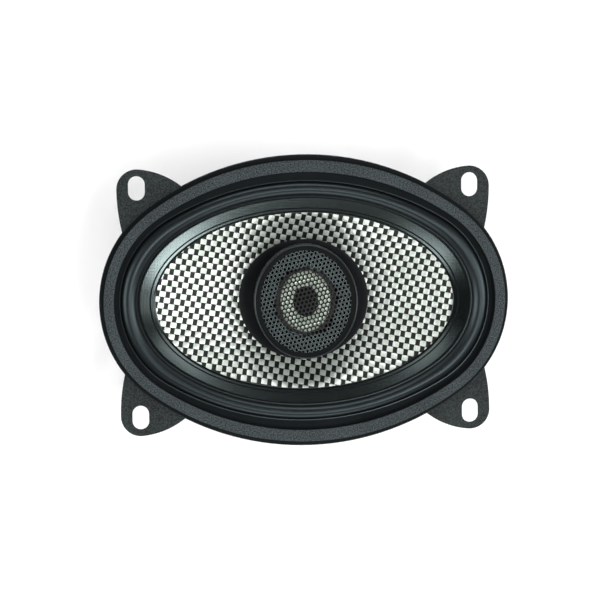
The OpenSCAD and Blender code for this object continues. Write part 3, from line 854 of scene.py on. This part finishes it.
def build_dome_edge():
    """Soft half roll from the dome's rim out to the tweeter's frame."""
    inner = np.array([9.55, 9.55 * DOME_STRETCH]) * MM
    outer = np.array([12.4, 12.4]) * MM
    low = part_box("tweeter_surround")[0].z
    shares = np.linspace(0, 1, 13)
    top = [(share, low + 0.2 * MM + 0.45 * MM * math.sin(math.pi * share)) for share in shares]
    under = [(share, low + 0.02 * MM + 0.3 * MM * math.sin(math.pi * share)) for share in shares]
    rows = top + under[::-1]
    outlines = [ellipse(inner + (outer - inner) * share, DOME_ROUND) for share, _ in rows]
    piece = swept("dome_edge_roll", outlines, [z for _, z in rows], SOFT_EDGE, smooth_angle=60)
    set_weights(piece)
    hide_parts("tweeter_surround")


build_bezel()
build_grille()
build_diaphragm()
build_dome_edge()


# ---- camera, light and floor ----

VIEW_WIDTH = 220.542 * MM                # width of the picture, in the plane of the flange
TARGET = Vector((-3.9 * MM, 2.3 * MM, LIP_Z))
LENS = 100
SENSOR = 36
FROM_LEFT = math.radians(4.0)            # how far the camera leans from straight above
FROM_TOP = math.radians(4.7)
ROLL = math.radians(1.0)

FLOOR_HALF = 3.0
FLOOR_TONES = ((0.93, 0.93, 0.93, 1), (0.95, 0.95, 0.95, 1))

# brightness of the room by the sine of the height above the horizon: dark overhead
SKY = ((0.0, 1.6), (0.3, 0.9), (0.55, 0.3), (0.85, 0.07), (1.0, 0.02))

AIM = (0, 0, 0.05)                       # what every light points at

# large soft boxes: name, place, size, power
BOXES = (
    ("right_box", (0.95, 0.0, 0.85), (0.5, 1.0), 9.5),
    ("left_box", (-0.95, 0.0, 0.75), (0.5, 1.0), 8.5),
    ("top_box", (0.0, 1.1, 0.7), (0.9, 0.3), 5),
    ("front_box", (0.0, -1.1, 0.7), (0.9, 0.3), 5),
)

# small lights overhead whose sheen falls on the land: place across and up, then power
LAND_LIGHT_HEIGHT = 1.2
LAND_LIGHT_SIZE = (0.14, 0.14)
LAND_LIGHTS = (
    (0.35, -0.09, 0.5), (0.31, -0.27, 1.5), (0.22, -0.345, 1.7),
    (0.24, 0.15, 0.6), (-0.07, -0.335, 0.95), (-0.06, 0.155, 0.42),
)


def make_camera():
    camera = bpy.data.objects.new("camera", bpy.data.cameras.new("camera"))
    bpy.context.scene.collection.objects.link(camera)
    camera.data.lens = LENS
    camera.data.sensor_width = SENSOR
    distance = VIEW_WIDTH * LENS / SENSOR
    back = Vector((-math.sin(FROM_LEFT), math.sin(FROM_TOP), 1)).normalized()
    right = Vector((math.cos(ROLL), -math.sin(ROLL), 0))
    right = (right - back * right.dot(back)).normalized()
    up = back.cross(right)
    turn = Matrix((right, up, back)).transposed()
    camera.matrix_world = Matrix.Translation(TARGET + back * distance) @ turn.to_4x4()
    bpy.context.scene.camera = camera


def area_light(name, place, size, power):
    data = bpy.data.lights.new(name, "AREA")
    data.shape = "RECTANGLE"
    data.size, data.size_y = size
    data.energy = power
    light = bpy.data.objects.new(name, data)
    light.location = place
    light.rotation_mode = "QUATERNION"
    light.rotation_quaternion = (Vector(AIM) - Vector(place)).to_track_quat("-Z", "Y")
    bpy.context.scene.collection.objects.link(light)


def make_floor():
    look = Look("floor_pale", 0.9)
    low, high = FLOOR_TONES
    look.colour(look.ramp(look.noise(0.3, 2), (0.3, low), (0.7, high)))
    corners = [(x * FLOOR_HALF, y * FLOOR_HALF, 0) for x, y in ((-1, -1), (1, -1), (1, 1), (-1, 1))]
    new_object("floor", corners, [(0, 1, 2, 3)], look.material)


def make_room():
    world = bpy.data.worlds.new("studio")
    world.use_nodes = True
    nodes, links = world.node_tree.nodes, world.node_tree.links
    split = nodes.new("ShaderNodeSeparateXYZ")
    ramp = nodes.new("ShaderNodeValToRGB")
    links.new(nodes.new("ShaderNodeTexCoord").outputs["Generated"], split.inputs["Vector"])
    links.new(split.outputs["Z"], ramp.inputs["Fac"])
    links.new(ramp.outputs["Color"], nodes["Background"].inputs["Color"])
    while len(ramp.color_ramp.elements) < len(SKY):
        ramp.color_ramp.elements.new(0.5)
    for element, (place, grey) in zip(ramp.color_ramp.elements, SKY):
        element.position = place
        element.color = (grey, grey, grey, 1)
    bpy.context.scene.world = world


def make_lights():
    for name, place, size, power in BOXES:
        area_light(name, place, size, power)
    for number, (x, y, power) in enumerate(LAND_LIGHTS):
        area_light("land_light_%d" % number, (x, y, LAND_LIGHT_HEIGHT), LAND_LIGHT_SIZE, power)


make_camera()
make_floor()
make_room()
make_lights()
bpy.context.scene.view_settings.view_transform = "Standard"
